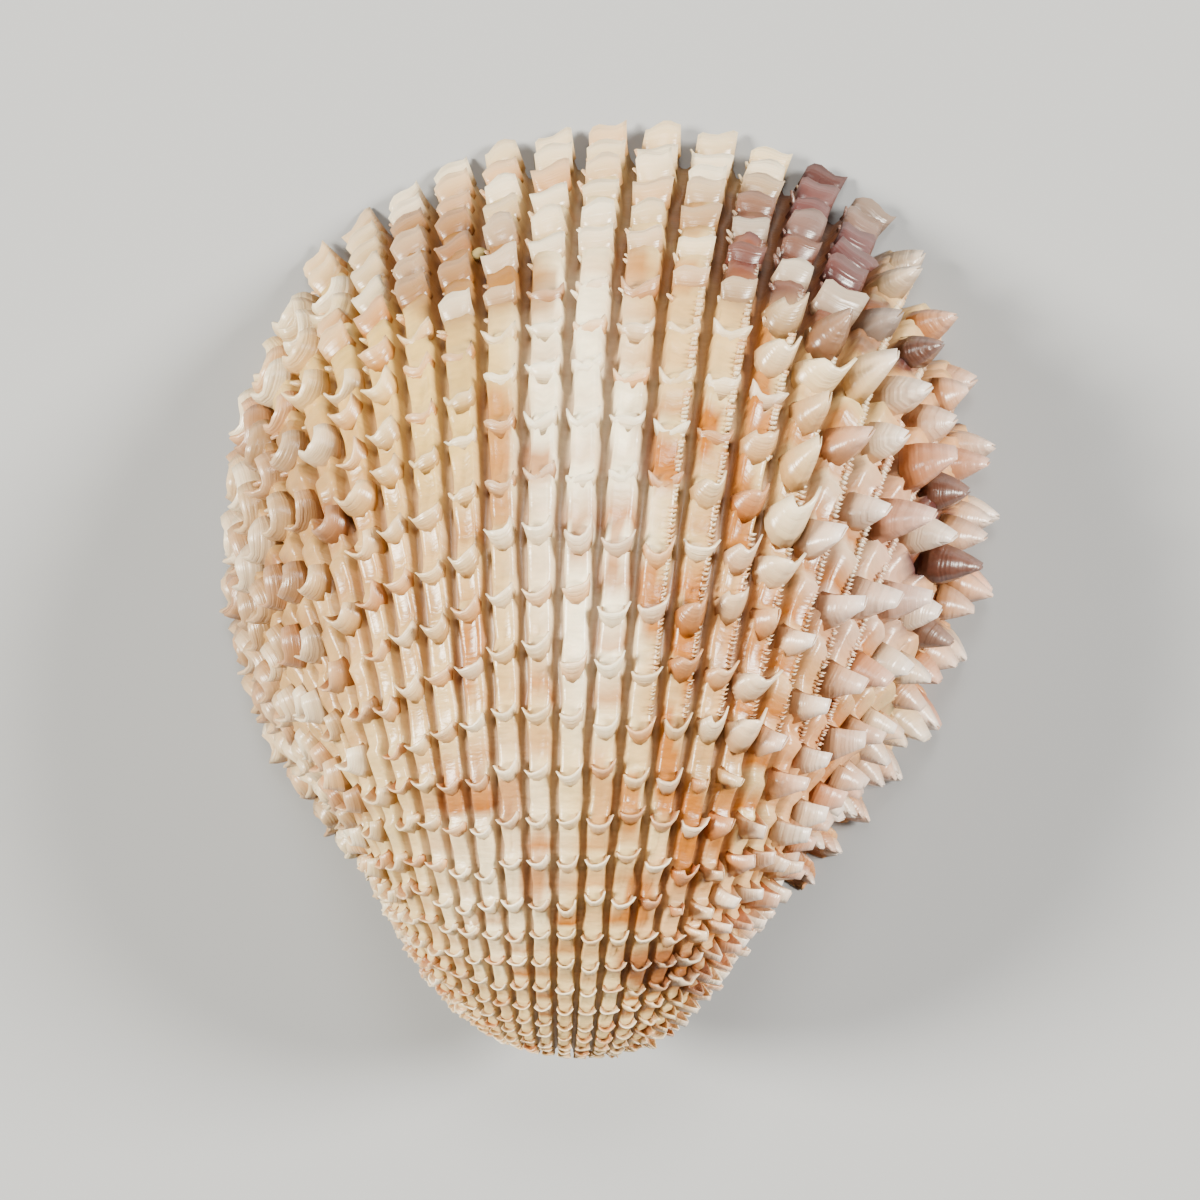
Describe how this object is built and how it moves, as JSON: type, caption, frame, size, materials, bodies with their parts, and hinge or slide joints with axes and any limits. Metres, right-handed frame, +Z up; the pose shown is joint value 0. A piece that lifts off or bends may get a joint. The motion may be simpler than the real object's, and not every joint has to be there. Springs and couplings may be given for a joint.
{
  "type": "cockle shell valve",
  "caption": "One half of a ribbed prickly cockle shell, resting on its scalloped rim, with overlapping scales on the ribs, spines at its hind end and an open hollow beneath.",
  "frame": {"origin": "under the middle of the box, on the surface that the rim rests on", "axes": "+Z up to the convex outside, +Y from the beak to the lower (ventral) margin, +X to the hind, spiny end"},
  "size_m": [0.0692, 0.0808, 0.0321],
  "materials": {
    "shell": "satin to glossy shell, cream with tan, orange and mauve patches"
  },
  "bodies": {
    "root": {"valve": "shell"}
  },
  "joints": []
}
